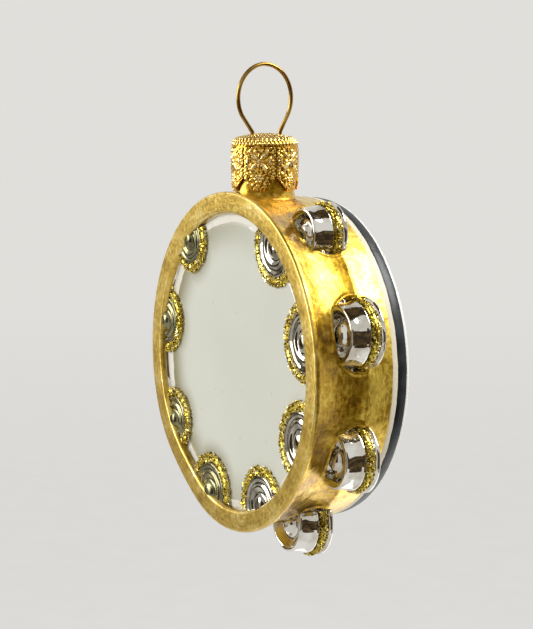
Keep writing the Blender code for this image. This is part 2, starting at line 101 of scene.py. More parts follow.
# Each jingle: degrees clockwise from the neck, size, and how far it sits outwards and back
OUTER_STATIONS = ((35, 0.86, 0.0, 0.0), (75, 1.0, 0.0, 0.0), (119, 1.0, 0.0, 0.8 * MM),
                  (159, 1.0, 0.7 * MM, 0.5 * MM), (200, 0.9, 0.0, 0.0), (240, 1.0, 0.0, 0.0),
                  (280, 1.0, 0.0, 0.0), (320, 1.0, 0.0, 0.0))
INNER_STATIONS = ((35, 0.94, 0.0, 0.0), (76, 1.0, 0.0, 0.0), (115, 1.0, 0.0, 0.0),
                  (157, 0.97, 0.0, 0.0), (199, 0.97, 0.0, 0.0), (239, 0.8, 0.0, 0.0),
                  (281, 0.82, 0.0, 0.0), (322, 0.8, 0.0, 0.0))

# %% [markdown]
# ## Helpers
# A turned shape starts as a wire of vertices, spun about Z. A finished mesh becomes an object at
# the origin, rides on its CAD body and hides the CAD nodes it stands for.

# %% Turn a profile, and finish a piece
studio = bpy.context.scene.collection
looks = bpy.data.collections.new("looks")
studio.children.link(looks)
MERGE_DISTANCE = 0.002 * MM


def new_object(name, data, collection):
    made = bpy.data.objects.new(name, data)
    collection.objects.link(made)
    return made


def to_mesh(name, bm, material=None):
    """Write a bmesh to a new mesh, and free it."""
    mesh = bpy.data.meshes.new(name)
    bm.to_mesh(mesh)
    bm.free()
    if material:
        mesh.materials.append(material)
    return mesh


def turn(profile, steps, closed=False, angle=2 * pi):
    """Spin a profile of (radius, height) points about Z."""
    bm = bmesh.new()
    verts = [bm.verts.new((radius, 0.0, height)) for radius, height in profile]
    edges = [bm.edges.new(pair) for pair in zip(verts, verts[1:])]
    if closed:
        edges.append(bm.edges.new((verts[-1], verts[0])))
    bmesh.ops.spin(bm, geom=verts + edges, cent=(0, 0, 0), axis=(0, 0, 1), dvec=(0, 0, 0),
                   angle=angle, steps=steps, use_merge=angle == 2 * pi,
                   use_duplicate=False)
    bmesh.ops.remove_doubles(bm, verts=bm.verts, dist=MERGE_DISTANCE)
    bmesh.ops.recalc_face_normals(bm, faces=bm.faces)
    return bm


def finish_piece(name, bm, material, body, nodes=(), matrix=STAND_UP, sharp=50):
    """Make the mesh an object in its place, smooth it, and tie it to the frame."""
    bmesh.ops.transform(bm, matrix=matrix, verts=bm.verts)
    mesh = to_mesh(name, bm, material)
    mesh.shade_smooth()
    mesh.set_sharp_from_angle(angle=radians(sharp))
    piece = new_object(name, mesh, looks)
    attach(piece, body)
    if nodes:
        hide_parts(*nodes)
    print(f"{name}: {len(mesh.polygons)} faces")
    return piece


def arc_points(centre, across, along, start, count, sweep=pi / 2):
    """Part of an ellipse of profile points, clockwise from the angle start."""
    points = []
    for step in range(count + 1):
        angle = start - sweep * step / count
        points.append((centre[0] + across * cos(angle), centre[1] + along * sin(angle)))
    return points


def ease(value):
    """A smooth step from 0 to 1."""
    value = min(1.0, max(0.0, value))
    return value * value * (3 - 2 * value)


# %% [markdown]
# ## Materials
# Colours are written as sRGB hex and turned to linear once. Small helpers add a node and set or
# link its inputs, so each material below reads as a list of what the real finish is made of.

# %% Colours and nodes
def linear(code):
    """sRGB hex to linear RGBA."""
    channels = [int(code[i:i + 2], 16) / 255 for i in (1, 3, 5)]
    return tuple(c / 12.92 if c <= 0.04045 else ((c + 0.055) / 1.055) ** 2.4
                 for c in channels) + (1.0,)


def fill(tree, node, inputs):
    """Set a node's inputs: a value is stored, and another node's output is linked."""
    for key, value in inputs.items():
        if isinstance(value, bpy.types.NodeSocket):
            tree.links.new(value, node.inputs[key])
        else:
            node.inputs[key].default_value = value


def add(tree, kind, inputs=None, **settings):
    """Add a shader node with its properties and inputs."""
    made = tree.nodes.new("ShaderNode" + kind)
    for key, value in settings.items():
        setattr(made, key, value)
    fill(tree, made, inputs or {})
    return made


def new_material(name):
    """A material with a Principled shader; returns it, its node tree, shader and coordinates."""
    material = bpy.data.materials.new(name)
    material.use_nodes = True
    tree = material.node_tree
    shader = tree.nodes["Principled BSDF"]
    coords = add(tree, "TexCoord").outputs["Object"]
    return material, tree, shader, coords


# %% The nodes that every finish uses
def cloud(tree, place, scale, detail, roughness=0.5):
    """A noise texture's grey value."""
    return add(tree, "TexNoise", {"Vector": place, "Scale": scale, "Detail": detail,
                                  "Roughness": roughness}).outputs["Fac"]


def ramp(tree, value, *stops):
    """A colour ramp through stops of a place and a colour."""
    made = add(tree, "ValToRGB", {"Fac": value})
    elements = made.color_ramp.elements
    while len(elements) < len(stops):
        elements.new(0.5)
    for element, (place, code) in zip(elements, stops):
        element.position = place
        element.color = linear(code)
    return made.outputs["Color"]


def spread(tree, value, low, high, start=0.0, end=1.0, **settings):
    """Turn the range from start to end into the range from low to high."""
    return add(tree, "MapRange", {"Value": value, "From Min": start, "From Max": end,
                                  "To Min": low, "To Max": high}, **settings).outputs[0]


def bumped(tree, height, strength, distance, under=None, invert=False):
    """The normal of a bump map, on top of another where there is one."""
    inputs = {"Height": height, "Strength": strength, "Distance": distance}
    if under:
        inputs["Normal"] = under
    return add(tree, "Bump", inputs, invert=invert).outputs["Normal"]


def maths(tree, operation, *sides):
    """A sum of one kind on outputs or numbers."""
    return add(tree, "Math", dict(enumerate(sides)), operation=operation).outputs[0]


def vectors(tree, operation, *sides):
    """The same for vectors. A length or a distance comes out as a number."""
    made = add(tree, "VectorMath", dict(enumerate(sides)), operation=operation)
    return made.outputs["Value" if operation in ('LENGTH', 'DISTANCE') else "Vector"]


def blend(tree, share, first, second):
    """Two colours mixed, with a share of the second."""
    made = add(tree, "Mix", {0: share, 6: first, 7: second}, data_type='RGBA')
    return made.outputs[2]


# %% [markdown]
# ### Silvered blown glass
# Silver nitrate inside the bulb turns clear glass into a mirror seen through a glass front. It
# is a metal with a clear coat: bright, hardly rough, and slightly brown where the silver is
# thin. The blown wall is never true, so a slow ripple bends its reflections.

# %% Silvered glass
def make_silvered_glass(name, thin_tone, full_tone, roughness, gloss):
    material, tree, shader, coords = new_material(name)
    thin = cloud(tree, coords, 260.0, 3.0)
    ripple = cloud(tree, coords, 330.0, 1.0)
    fill(tree, shader, {"Base Color": ramp(tree, thin, (0.35, thin_tone), (0.62, full_tone)),
                        "Normal": bumped(tree, ripple, 0.6, 0.45 * MM),
                        "Metallic": 1.0, "Roughness": roughness,
                        "Coat Weight": gloss, "Coat Roughness": 0.03})
    return material


silvered_glass = make_silvered_glass("silvered_blown_glass", "#B9B09E", "#ECEAE3", 0.05, 0.6)
# The inner jingles get a darker copy of the silver: painted shade for the dark surroundings
# that their faces reflect. The inner jingles at the left get a darker, duller copy still.
shaded_inner_silver = make_silvered_glass("inner_silver_painted_shade", "#6E6857", "#BDB8AA", 0.08, 0.4)
dull_left_silver = make_silvered_glass("dull_left_silver_glass", "#5C573A", "#8C8864", 0.24, 0.2)


# %% [markdown]
# ### Gold lacquer
# Bronze powder in lacquer, brushed over the silver. Brush marks run round the rim, so they are
# drawn from the direction round the drum's axis, which has no seam, and from the distance
# across the surface. The ring's face gets a paler copy with long brush marks; its paleness is
# painted light for the pale surroundings the face reflects. On the wall the powder has clotted
# into grains under a millimetre wide.

# %% Gold lacquer
def make_gold_lacquer(name, streak_strength, grain_strength, dark, middle, light):
    material, tree, shader, coords = new_material(name)
    split = add(tree, "SeparateXYZ", {0: vectors(tree, 'ADD', coords, -DRUM_CENTRE)}).outputs
    flat = add(tree, "CombineXYZ", {"X": split["X"], "Z": split["Z"]}).outputs[0]
    heading = vectors(tree, 'NORMALIZE', flat)
    around = add(tree, "VectorMath", {0: heading, "Scale": 9.0}, operation='SCALE').outputs[0]
    across = maths(tree, 'ADD', vectors(tree, 'LENGTH', flat), split["Y"])
    # One streak is about a third of a millimetre wide and four long.
    lift = add(tree, "CombineXYZ", {"Y": maths(tree, 'MULTIPLY', across, 3000.0)}).outputs[0]
    streaks = cloud(tree, vectors(tree, 'ADD', around, lift), 1.0, 3.0, 0.6)
    patches = cloud(tree, coords, 210.0, 4.0, 0.65)
    grains = cloud(tree, coords, 1150.0, 2.0, 0.6)
    streaked = add(tree, "Mix", {0: streak_strength, 2: patches, 3: streaks}).outputs[0]
    speckled = add(tree, "Mix", {0: grain_strength, 2: streaked, 3: grains}).outputs[0]
    # Behind the mould line the gold is made lighter: painted light for the rear band, lit more
    # than the hollow in front of the crease.
    lit_back_band = spread(tree, split["Y"], 0.0, 0.07, CREASE_DEPTH - 0.3 * MM, CREASE_DEPTH + 0.9 * MM)
    level = maths(tree, 'ADD', speckled, lit_back_band)
    brushed = bumped(tree, streaks, 0.3, 0.05 * MM)
    fill(tree, shader, {
        "Base Color": ramp(tree, level, (0.38, dark), (0.5, middle), (0.62, light)),
        "Roughness": spread(tree, grains, 0.24, 0.44),
        "Normal": bumped(tree, grains, 0.25 + grain_strength, 0.12 * MM, brushed),
        "Metallic": 0.95, "Coat Weight": 0.75, "Coat Roughness": 0.25})
    return material


wall_gold = make_gold_lacquer("gold_bronze_lacquer", 0.25, 0.35, "#8E6800", "#C79A00", "#F2D050")
# The ring's copy is paler: painted light for the pale surroundings its face reflects
lit_ring_gold = make_gold_lacquer("ring_gold_painted_light", 0.4, 0.2, "#B28E2C", "#D8B64C", "#EED688")
print("gold made")


# %% [markdown]
# ### Pearl and ivory enamel
# Mica powder in white lacquer dries to a soft satin. It is a plain dielectric with a clear coat,
# strong on the face and weak elsewhere. The colour wanders by a per cent or two, and a few dust
# specks sit in it. Painted shade darkens the face olive towards its left edge and round the
# jingles there, which is one more mix on top of the paint.

# %% Painted shade at the face's edge
SHADE_STARTS, SHADE_ENDS = -9 * MM, -1.2 * MM  # from the face's edge
HALO_STARTS, HALO_WIDTH = 6.8 * MM, 4.5 * MM  # round a jingle of full size


def paint_face_shade(tree, coords, paint, edge):
    """Painted shade: darken the face towards its left edge, and round the jingles there."""
    flat = vectors(tree, 'MULTIPLY', coords, (1.0, 0.0, 1.0))
    radius = vectors(tree, 'DISTANCE', flat, (DRUM_CENTRE.x, 0.0, DRUM_CENTRE.z))
    rim = spread(tree, radius, 0.0, 1.0, FACE_EDGE + SHADE_STARTS, FACE_EDGE + SHADE_ENDS,
                 interpolation_type='SMOOTHSTEP')
    sideways = add(tree, "SeparateXYZ", {0: coords}).outputs["X"]
    left = spread(tree, sideways, 0.9, 0.0, -24 * MM, 16 * MM)
    amount = maths(tree, 'MULTIPLY', maths(tree, 'POWER', rim, 1.8), left)
    # Painted shadow round each inner jingle at the left
    for degrees, size, _, _ in INNER_STATIONS[4:]:
        turned = radians(degrees)
        place = (DRUM_CENTRE.x + INNER_CENTRE * sin(turned), 0.0,
                 DRUM_CENTRE.z + INNER_CENTRE * cos(turned))
        starts = HALO_STARTS * size
        halo = spread(tree, vectors(tree, 'DISTANCE', flat, place), 0.65, 0.0, starts,
                      starts + HALO_WIDTH, interpolation_type='SMOOTHSTEP')
        amount = maths(tree, 'MAXIMUM', amount, halo)
    return blend(tree, amount, paint, linear(edge))


# %% Pearl and ivory enamel
def make_enamel(name, base, shade, speck, roughness, gloss, edge=None):
    material, tree, shader, coords = new_material(name)
    tone = ramp(tree, cloud(tree, coords, 45.0, 3.0), (0.3, shade), (0.7, base))
    dust = add(tree, "TexVoronoi", {"Vector": coords, "Scale": 260.0, "Randomness": 1.0})
    is_dust = spread(tree, dust.outputs["Distance"], 0.5, 0.0, 0.05, 0.09)
    paint = blend(tree, is_dust, tone, linear(speck))
    # Painted shade on the face, olive towards its left edge and round the jingles there
    if edge:
        paint = paint_face_shade(tree, coords, paint, edge)
    skin = cloud(tree, coords, 900.0, 2.0)
    fill(tree, shader, {"Base Color": paint, "Normal": bumped(tree, skin, 0.15, 0.03 * MM),
                        "Roughness": roughness, "Coat Weight": gloss, "Coat Roughness": 0.12})
    return material


# The last colour is the olive of the painted shade at the face's left edge
pearl_enamel = make_enamel("pearl_enamel", "#D4D5C9", "#CFD0C3", "#B5B3A0", 0.42, 0.8, "#80764A")
white_undercoat = make_enamel("white_undercoat", "#EAE8DF", "#DCD9CC", "#BDB8A4", 0.35, 0.5)
ivory_enamel = make_enamel("ivory_enamel", "#DCD4BE", "#C9BEA2", "#A8966C", 0.50, 0.05)
head_enamel = make_enamel("head_enamel", "#E2E1DB", "#DAD8CF", "#BDB8A4", 0.40, 0.2)


# %% [markdown]
# ### Black enamel, glitter, cap and wire
# The band is gloss enamel put on with a brush, so its gloss wavers along the stroke. Glitter is
# cut metallised film: each grain is a tiny flat mirror, and no two are the same shade. The cap
# is lacquered tinplate, and the wire is drawn brass.

# %% Black enamel and glitter
def make_black_enamel():
    material, tree, shader, coords = new_material("black_enamel")
    stroke = cloud(tree, coords, 260.0, 3.0)
    fill(tree, shader, {"Base Color": ramp(tree, stroke, (0.4, "#0C0F10"), (0.68, "#1E2426")),
                        "Roughness": spread(tree, stroke, 0.22, 0.45),
                        "Normal": bumped(tree, stroke, 0.6, 0.2 * MM), "IOR": 1.38})
    return material


def make_glitter():
    material, tree, shader, _ = new_material("gold_glitter_film")
    island = add(tree, "NewGeometry").outputs["Random Per Island"]
    shades = ramp(tree, island, (0.0, "#6F5C14"), (0.3, "#B8A032"), (0.65, "#E8D260"),
                  (1.0, "#FFFAD8"))
    fill(tree, shader, {"Base Color": shades, "Roughness": spread(tree, island, 0.10, 0.35),
                        "Metallic": 1.0})
    return material


black_enamel = make_black_enamel()
glitter_film = make_glitter()


# %% Cap and wire
def make_cap_metal():
    material, tree, shader, coords = new_material("gold_lacquered_tinplate")
    relief = add(tree, "Attribute", attribute_name="relief").outputs["Fac"]
    # The die's own stipple, under half a millimetre from bump to bump
    stipple = add(tree, "TexVoronoi", {"Vector": coords, "Scale": 2300.0, "Smoothness": 0.6},
                  feature='SMOOTH_F1')
    stippled = bumped(tree, stipple.outputs["Distance"], 0.4, 0.12 * MM, invert=True)
    crumple = cloud(tree, coords, 900.0, 2.0)
    # The colour follows the pressed relief: painted shade in the dips, painted highlight on the
    # raised dots and leaves
    fill(tree, shader, {
        "Base Color": ramp(tree, relief, (0.0, "#D69C30"), (0.4, "#F0C45E"), (1.0, "#FFEAB0")),
        "Normal": bumped(tree, crumple, 0.4, 0.14 * MM, stippled),
        "Metallic": 1.0, "Roughness": 0.2})
    return material


def make_wire_brass():
    material, tree, shader, coords = new_material("drawn_brass_wire")
    dull = cloud(tree, coords, 300.0, 3.0)
    fill(tree, shader, {"Base Color": ramp(tree, dull, (0.35, "#8C6628"), (0.7, "#C4A052")),
                        "Metallic": 1.0, "Roughness": 0.22})
    return material


cap_metal = make_cap_metal()
wire_brass = make_wire_brass()
print("materials:", len(bpy.data.materials))

# %% [markdown]
# ## The rim's relief
# The wall between the front ring and the back is hollowed like a real tambourine's rim, with a
# soft step where the mould's hollow ends. Each jingle pair sits in a tight slot with a raised
# lip. All of it is one function: how far a point of the wall moves out, given its angle round
# the drum and its depth. Gold and glass call it with their own slot depths.

# %% Slots in the wall
def round_axis(vert):
    """A vertex's radius from the drum's axis, and its angle clockwise from the neck."""
    return hypot(vert.co.x, vert.co.y), atan2(vert.co.x, vert.co.y)


def push_out(vert, radius, move):
    """Move a vertex away from the drum's axis."""
    vert.co.x += move * vert.co.x / radius
    vert.co.y += move * vert.co.y / radius


# Depths behind the ring's front, and the heights of the lip and of the step at the crease
SLOT_FRONT = 5.3 * MM
SLOT_BACK = 12.8 * MM
SLOT_LIP = 0.26 * MM
CREASE_STEP = 0.3 * MM


def slot_rim(angle, depth):
    """0 in the middle of the nearest slot, 1 on its edge; the angle is clockwise."""
    middle = (SLOT_FRONT + SLOT_BACK) / 2
    best = 9.0
    for degrees, size, _, back in OUTER_STATIONS:
        aside = ((angle - radians(degrees) + pi) % (2 * pi) - pi) * RING_RADIUS
        place = depth - back
        # A slot is narrower in front, as the jingle's front plate is smaller than its bead.
        half_length = (5.5 + 1.4 * ease((place - SLOT_FRONT) / (4.5 * MM))) * MM * size
        shape = (abs(aside) / half_length) ** 3
        shape += (abs(place - middle) / (SLOT_BACK - middle)) ** 3
        best = min(best, shape ** (1 / 3))
    return best


# %% Relief of the wall
def wall_relief(angle, depth, slot_drop):
    """Radial move of a point of the wall. It is 0 on the ring and at the back edge."""
    along = (depth - RING_SHOULDER) / (CREASE_DEPTH - RING_SHOULDER)
    # Round the neck the blown wall isn't hollow, but runs straight to the neck's foot.
    from_neck = abs(angle) * RING_RADIUS
    hollow = WALL_HOLLOW * (0.1 + 0.9 * ease((from_neck - 6 * MM) / (5 * MM)))
    move = -hollow * sin(pi * along) if 0 < along < 1 else 0.0
    behind = ease((depth - CREASE_DEPTH + 0.4 * MM) / (0.8 * MM))
    plain = 0.25 + 0.75 * exp(-((angle - radians(97)) / radians(14)) ** 2)
    move -= CREASE_STEP * plain * (1 - behind) * ease((depth - 5 * MM) / (5 * MM))
    rim = slot_rim(angle, depth)
    move += SLOT_LIP * exp(-((rim - 1.09) / 0.07) ** 2)
    move -= slot_drop * ease((1.04 - rim) / 0.08)
    place = Vector((cos(angle), sin(angle), depth / RING_RADIUS)) * 9.0
    wobble = 0.09 * MM * noise.noise(place) + 0.04 * MM * noise.noise(place * 3.1)
    return move + wobble * ease((depth - RING_SHOULDER) / (1.5 * MM))


def shape_wall(bm, slot_drop):
    """Move the outer wall's vertices by the relief, which fades before the gold's edge."""
    for vert in bm.verts:
        radius, angle = round_axis(vert)
        depth = -vert.co.z
        if RING_SHOULDER < depth <= WALL_END_DEPTH and radius > FACE_RADIUS:
            fade = ease((WALL_END_DEPTH - depth) / (0.8 * MM))
            push_out(vert, radius, wall_relief(angle, depth, slot_drop) * fade)


FLAT_ANGLE, FLAT_HALF_WIDTH, FLAT_DEPTH = radians(217), radians(17), 0.9 * MM


def press_flat(bm):
    """The bulb came out of its mould a millimetre flat at the lower left."""
    for vert in bm.verts:
        radius, angle = round_axis(vert)
        away = (angle % (2 * pi) - FLAT_ANGLE) / FLAT_HALF_WIDTH
        inward = FLAT_DEPTH * exp(-away ** 2) * ease((radius - 24 * MM) / (5 * MM))
        if inward > 0.001 * MM:
            push_out(vert, radius, -inward)


# %% [markdown]
# ## Profiles
# The drum's outline is written once as a function of an inset, so the paint and the glass under
# it share it: front ring as two quarter ellipses, a straight wall that the relief then shapes,
# the back edge, and the domed back head.

# %% The drum's outline
COAT = 0.12 * MM


def slope_profile(inset, starts_at, count):
    """The ring's inner slope, from a depth up to its flat face."""
    land_in = RING_RADIUS - RING_ROUNDING - RING_LAND
    start = pi - asin(1 - starts_at / RECESS_DEPTH)
    return arc_points((land_in, -RECESS_DEPTH), land_in - FACE_RADIUS - inset,
                      RECESS_DEPTH - inset, start, count, start - pi / 2)


def ring_profile(inset, starts_at=RECESS_DEPTH, count=12):
    """Up the inner slope, over the ring's flat face and round its outer edge."""
    path = slope_profile(inset, starts_at, count)
    path += arc_points((RING_RADIUS - RING_ROUNDING, -RING_ROUNDING), RING_ROUNDING - inset,
                       RING_ROUNDING - inset, pi / 2, count)
    path.append((RING_RADIUS - inset, -RING_SHOULDER))
    return path


def wall_profile(inset, spacing=0.26 * MM):
    """Straight runs from the ring's shoulder to the crease and on to the gold's edge."""
    corners = [(RING_RADIUS, RING_SHOULDER), (CREASE_RADIUS, CREASE_DEPTH),
               (WALL_END_RADIUS, WALL_END_DEPTH)]
    path = []
    for (r0, d0), (r1, d1) in zip(corners, corners[1:]):
        count = max(1, round((d1 - d0) / spacing))
        for step in range(1, count + 1):
            along = step / count
            path.append((r0 + (r1 - r0) * along - inset, -(d0 + (d1 - d0) * along)))
    return path


def back_profile(inset):
    """The rounded edge of the back head and its dome, to the axis."""
    rings = 24
    flat_radius = BACK_RADIUS - HEAD_ROUNDING
    path = arc_points((flat_radius, -BACK_DEPTH), HEAD_ROUNDING - inset, HEAD_ROUNDING - inset,
                      0.0, 8)
    for step in range(1, rings + 1):
        along = step / rings
        depth = BACK_DEPTH + HEAD_ROUNDING - inset + HEAD_CROWN * (1 - (1 - along) ** 2)
        path.append((flat_radius * (1 - along), -depth))
    return path


# %% [markdown]
# ## The glass body
# Seen bare only in the jingles' slots and at the jingles, but it is modelled whole: one spun
# shape just under the paint, solid enough to stand by itself.

# %% Glass drum
DRUM_STEPS = 480
edge_run = [(WALL_END_RADIUS - COAT, -WALL_END_DEPTH), (BACK_RADIUS - COAT, -BACK_DEPTH)]
glass_line = [(0.0, -RECESS_DEPTH - COAT)] + ring_profile(COAT) + wall_profile(COAT)
glass_bm = turn(glass_line + edge_run + back_profile(COAT), DRUM_STEPS)
shape_wall(glass_bm, 0.6 * MM)
press_flat(glass_bm)
finish_piece("glass_drum", glass_bm, silvered_glass, "drum", ("glass_body",))

# %% [markdown]
# ## Gold coats
# Each is a closed skin: down the outside and back up a little further in. The ring's coat ends
# near the foot of the ring's inner slope, along a wavy hand-painted edge. The wall's coat dives
# under the glass in each slot, so the bare silver shows there with a gold lip round it.

# %% Gold ring
RING_COAT_ENDS = 1.1 * MM
ring_out = ring_profile(0.0, RING_COAT_ENDS, 14)
ring_in = ring_profile(COAT * 1.6, RING_COAT_ENDS, 6)
ring_bm = turn(ring_out + ring_in[::-1], DRUM_STEPS, closed=True)
for vert in ring_bm.verts:
    radius, angle = round_axis(vert)
    place = Vector((cos(angle), sin(angle), 2.0))
    waver = (0.3 * noise.noise(place * 3) + 0.15 * noise.noise(place * 14)) * MM
    share = ease((-vert.co.z - 0.1 * MM) / (0.5 * MM)) if radius < RING_RADIUS - 2 * MM else 0.0
    vert.co.z += waver * share
    push_out(vert, radius, 0.4 * waver * share)
press_flat(ring_bm)
finish_piece("gold_ring", ring_bm, lit_ring_gold, "drum", ("gold_lacquer",))

# %% Gold wall
WALL_STEPS = 800
outside = [(RING_RADIUS, -RING_ROUNDING), (RING_RADIUS, -RING_SHOULDER)] + wall_profile(0.0)
inside = [(RING_RADIUS - COAT * 2, -RING_ROUNDING)] + wall_profile(COAT * 2, 0.7 * MM)
gold_bm = turn(outside + inside[::-1], WALL_STEPS, closed=True)
shape_wall(gold_bm, 1.9 * MM)
press_flat(gold_bm)
finish_piece("gold_wall", gold_bm, wall_gold, "drum", ("gold_lacquer",))

# %% [markdown]
# ## Painted face, line, band and back head
# The face was painted by hand up to a wavy edge, so a strip of the white undercoat is left
# beside the ring. The line and the band are brushed rings, slightly swollen in the middle, whose
# edges wander by a tenth of a millimetre.

# %% White strip
FACE_STEPS = 360
STRIP_TOP = 0.8 * MM  # how far below the ring's front the strip goes under the gold
strip_floor = -RECESS_DEPTH + COAT * 0.4
slope_start = slope_profile(COAT * 0.4, STRIP_TOP, 6)[0][0]
strip_out = [(FACE_EDGE - 2.2 * MM, strip_floor), (slope_start - 0.25 * MM, strip_floor)]
strip_out += [spot for spot in slope_profile(COAT * 0.4, RECESS_DEPTH, 16)
              if spot[1] < -STRIP_TOP]
strip_in = [(strip_out[-1][0] + 2 * COAT, strip_out[-1][1]),
            (FACE_RADIUS + 2 * COAT, -RECESS_DEPTH - COAT),
            (strip_out[0][0], -RECESS_DEPTH - COAT)]
strip_bm = turn(strip_out + strip_in, FACE_STEPS, closed=True)
press_flat(strip_bm)
finish_piece("white_strip", strip_bm, white_undercoat, "drum",
             ("glass_body",))

# %% Painted face
face_top = [(FACE_EDGE * step / 40, -RECESS_DEPTH + COAT / 2) for step in range(41)]
face_bm = turn(face_top + [(FACE_EDGE + COAT, -RECESS_DEPTH - COAT / 2),
                           (0.0, -RECESS_DEPTH - COAT * 1.5)], FACE_STEPS)
for vert in face_bm.verts:
    radius, angle = round_axis(vert)
    if radius > FACE_EDGE * 0.9:
        place = Vector((cos(angle), sin(angle), 0.3))
        waver = 0.30 * noise.noise(place * 4) + 0.14 * noise.noise(place * 17) - 0.25
        waver -= 1.1 * exp(-((angle + radians(80)) / radians(42)) ** 2)
        push_out(vert, radius, waver * MM * ease((radius / FACE_EDGE - 0.9) / 0.1))
press_flat(face_bm)
finish_piece("pearl_face", face_bm, pearl_enamel, "drum", ("face_enamel",))


# %% Line, band and back head
def brushed_ring(name, material, node, near, far, swell, waver, seed):
    """A ring of paint behind the gold, from near to far behind its edge."""
    slope = (BACK_RADIUS - WALL_END_RADIUS) / (LINE_WIDTH + BAND_WIDTH)
    count = 10
    top = []
    for step in range(count + 1):
        along = step / count
        back = near + (far - near) * along
        radius = WALL_END_RADIUS + slope * back + swell * sin(pi * along) ** 0.6
        top.append((radius, -WALL_END_DEPTH - back))
    under = [(top[-1][0] - 3 * COAT, top[-1][1]), (top[0][0] - 3 * COAT, top[0][1])]
    bm = turn(top + under, DRUM_STEPS, closed=True)
    for vert in bm.verts:
        _, angle = round_axis(vert)
        place = Vector((cos(angle), sin(angle), seed)) * 12
        depth = -vert.co.z - WALL_END_DEPTH
        side = 1 if depth > (near + far) / 2 else -1
        vert.co.z -= waver * (noise.noise(place + Vector((0, 0, side)))
                              + 0.6 * noise.noise(place * 4))
    finish_piece(name, bm, material, "drum", (node,))


brushed_ring("ivory_stripe", ivory_enamel, "ivory_line",
             -0.15 * MM, LINE_WIDTH + 0.1 * MM, 0.05 * MM, 0.10 * MM, 1.0)
brushed_ring("black_stripe", black_enamel, "black_band",
             LINE_WIDTH, LINE_WIDTH + BAND_WIDTH, 0.14 * MM, 0.12 * MM, 2.0)

head_under = [(BACK_RADIUS - HEAD_ROUNDING, -BACK_DEPTH - HEAD_ROUNDING + 3 * COAT),
              (BACK_RADIUS - 3 * COAT, -BACK_DEPTH)]
head_bm = turn([(0.0, -BACK_DEPTH - HEAD_ROUNDING)] + head_under + back_profile(0.0), FACE_STEPS)
finish_piece("back_head", head_bm, head_enamel, "drum", ("back_enamel",))

# %% [markdown]
# ## Jingles
# Each jingle is turned about its own axis, made a little uneven as blown glass is, cut off
# where it would be inside the drum, and carried to its station.

# %% A jingle's place, and its unevenness
def station_matrix(station, centre):
    """Drum space to a jingle's place: clockwise from the neck, at a radius from the axis."""
    degrees, _, outwards, back = station
    turn_it = Matrix.Rotation(-radians(degrees), 4, 'Z')
    return turn_it @ Matrix.Translation((0.0, centre + outwards, -back))


def make_uneven(bm, amount, seed):
    """Shift every vertex a little, by a noise slower than the jingle's own grooves."""
    for vert in bm.verts:
        place = vert.co / (2.6 * MM) + Vector((seed * 7.3, seed * 3.1, seed))
        shift = noise.noise_vector(place) * amount
        vert.co += Vector((shift.x, shift.y, shift.z * 0.5))


def slice_off(bm, at, normal):
    """Cut away what lies beyond a plane; returns the cut's own vertices and edges."""
    geometry = bm.verts[:] + bm.edges[:] + bm.faces[:]
    return bmesh.ops.bisect_plane(bm, geom=geometry, plane_co=at, plane_no=normal,
                                  clear_outer=True)["geom_cut"]


def cut_behind(bm, at, keep_inner):
    """Cut a shape with a plane across Y and close the cut."""
    cut = slice_off(bm, (0, at, 0), (0, 1 if keep_inner else -1, 0))
    rim = [item for item in cut if isinstance(item, bmesh.types.BMEdge)]
    bmesh.ops.contextual_create(bm, geom=rim)
    bmesh.ops.recalc_face_normals(bm, faces=bm.faces)


# %% Outer jingle pairs
def smooth_profile(points):
    """A Catmull-Rom curve through the points, so the turned shape has no corners."""
    between = 3
    path = []
    for index in range(len(points) - 1):
        p0 = Vector(points[max(index - 1, 0)])
        p1 = Vector(points[index])
        p2 = Vector(points[index + 1])
        p3 = Vector(points[min(index + 2, len(points) - 1)])
        for step in range(between):
            t = step / between
            spot = 0.5 * (2 * p1 + (p2 - p0) * t + (2 * p0 - 5 * p1 + 4 * p2 - p3) * t ** 2
                          + (3 * p1 - p0 - 3 * p2 + p3) * t ** 3)
            path.append((max(0.0, spot.x), spot.y))
    path.append(points[-1])
    return path


def make_jingle(name, line, station, centre, uneven, seed, cut_at, keep_inner, silver):
    """Turn a jingle from its profile, cut it and carry it to its station."""
    size = station[1]
    bm = turn(smooth_profile([(radius * size * MM, height) for radius, height in line]), 72)
    make_uneven(bm, uneven, seed)
    cut_behind(bm, cut_at, keep_inner)
    finish_piece(name, bm, silver, "drum", ("glass_body",),
                 STAND_UP @ station_matrix(station, centre))


# (radius, depth behind the ring's front): hub, dimple, rim, front plate, groove, back plate
OUTER_PROFILE = ((0.0, 5.5), (0.8, 5.53), (1.4, 5.68), (1.9, 5.98), (2.25, 6.38), (2.6, 6.62),
                 (3.1, 6.64), (3.6, 6.42), (4.2, 5.95), (4.7, 5.65), (5.05, 5.6), (5.35, 5.75),
                 (5.5, 6.15), (5.6, 6.8), (5.7, 7.6), (5.85, 8.4), (6.02, 9.0), (6.0, 9.35),
                 (5.75, 9.6), (5.65, 10.3), (5.75, 10.9), (6.2, 11.15), (6.55, 11.45),
                 (6.65, 11.8), (6.45, 12.15), (5.8, 12.4), (4.4, 12.45), (0.0, 12.45))

outer_line = [(radius, -depth * MM) for radius, depth in OUTER_PROFILE]
for number, station in enumerate(OUTER_STATIONS, 1):
    make_jingle(f"outer_jingle_{number}", outer_line, station, OUTER_CENTRE, 0.11 * MM, number,
                -5.0 * MM * station[1], False, silvered_glass)

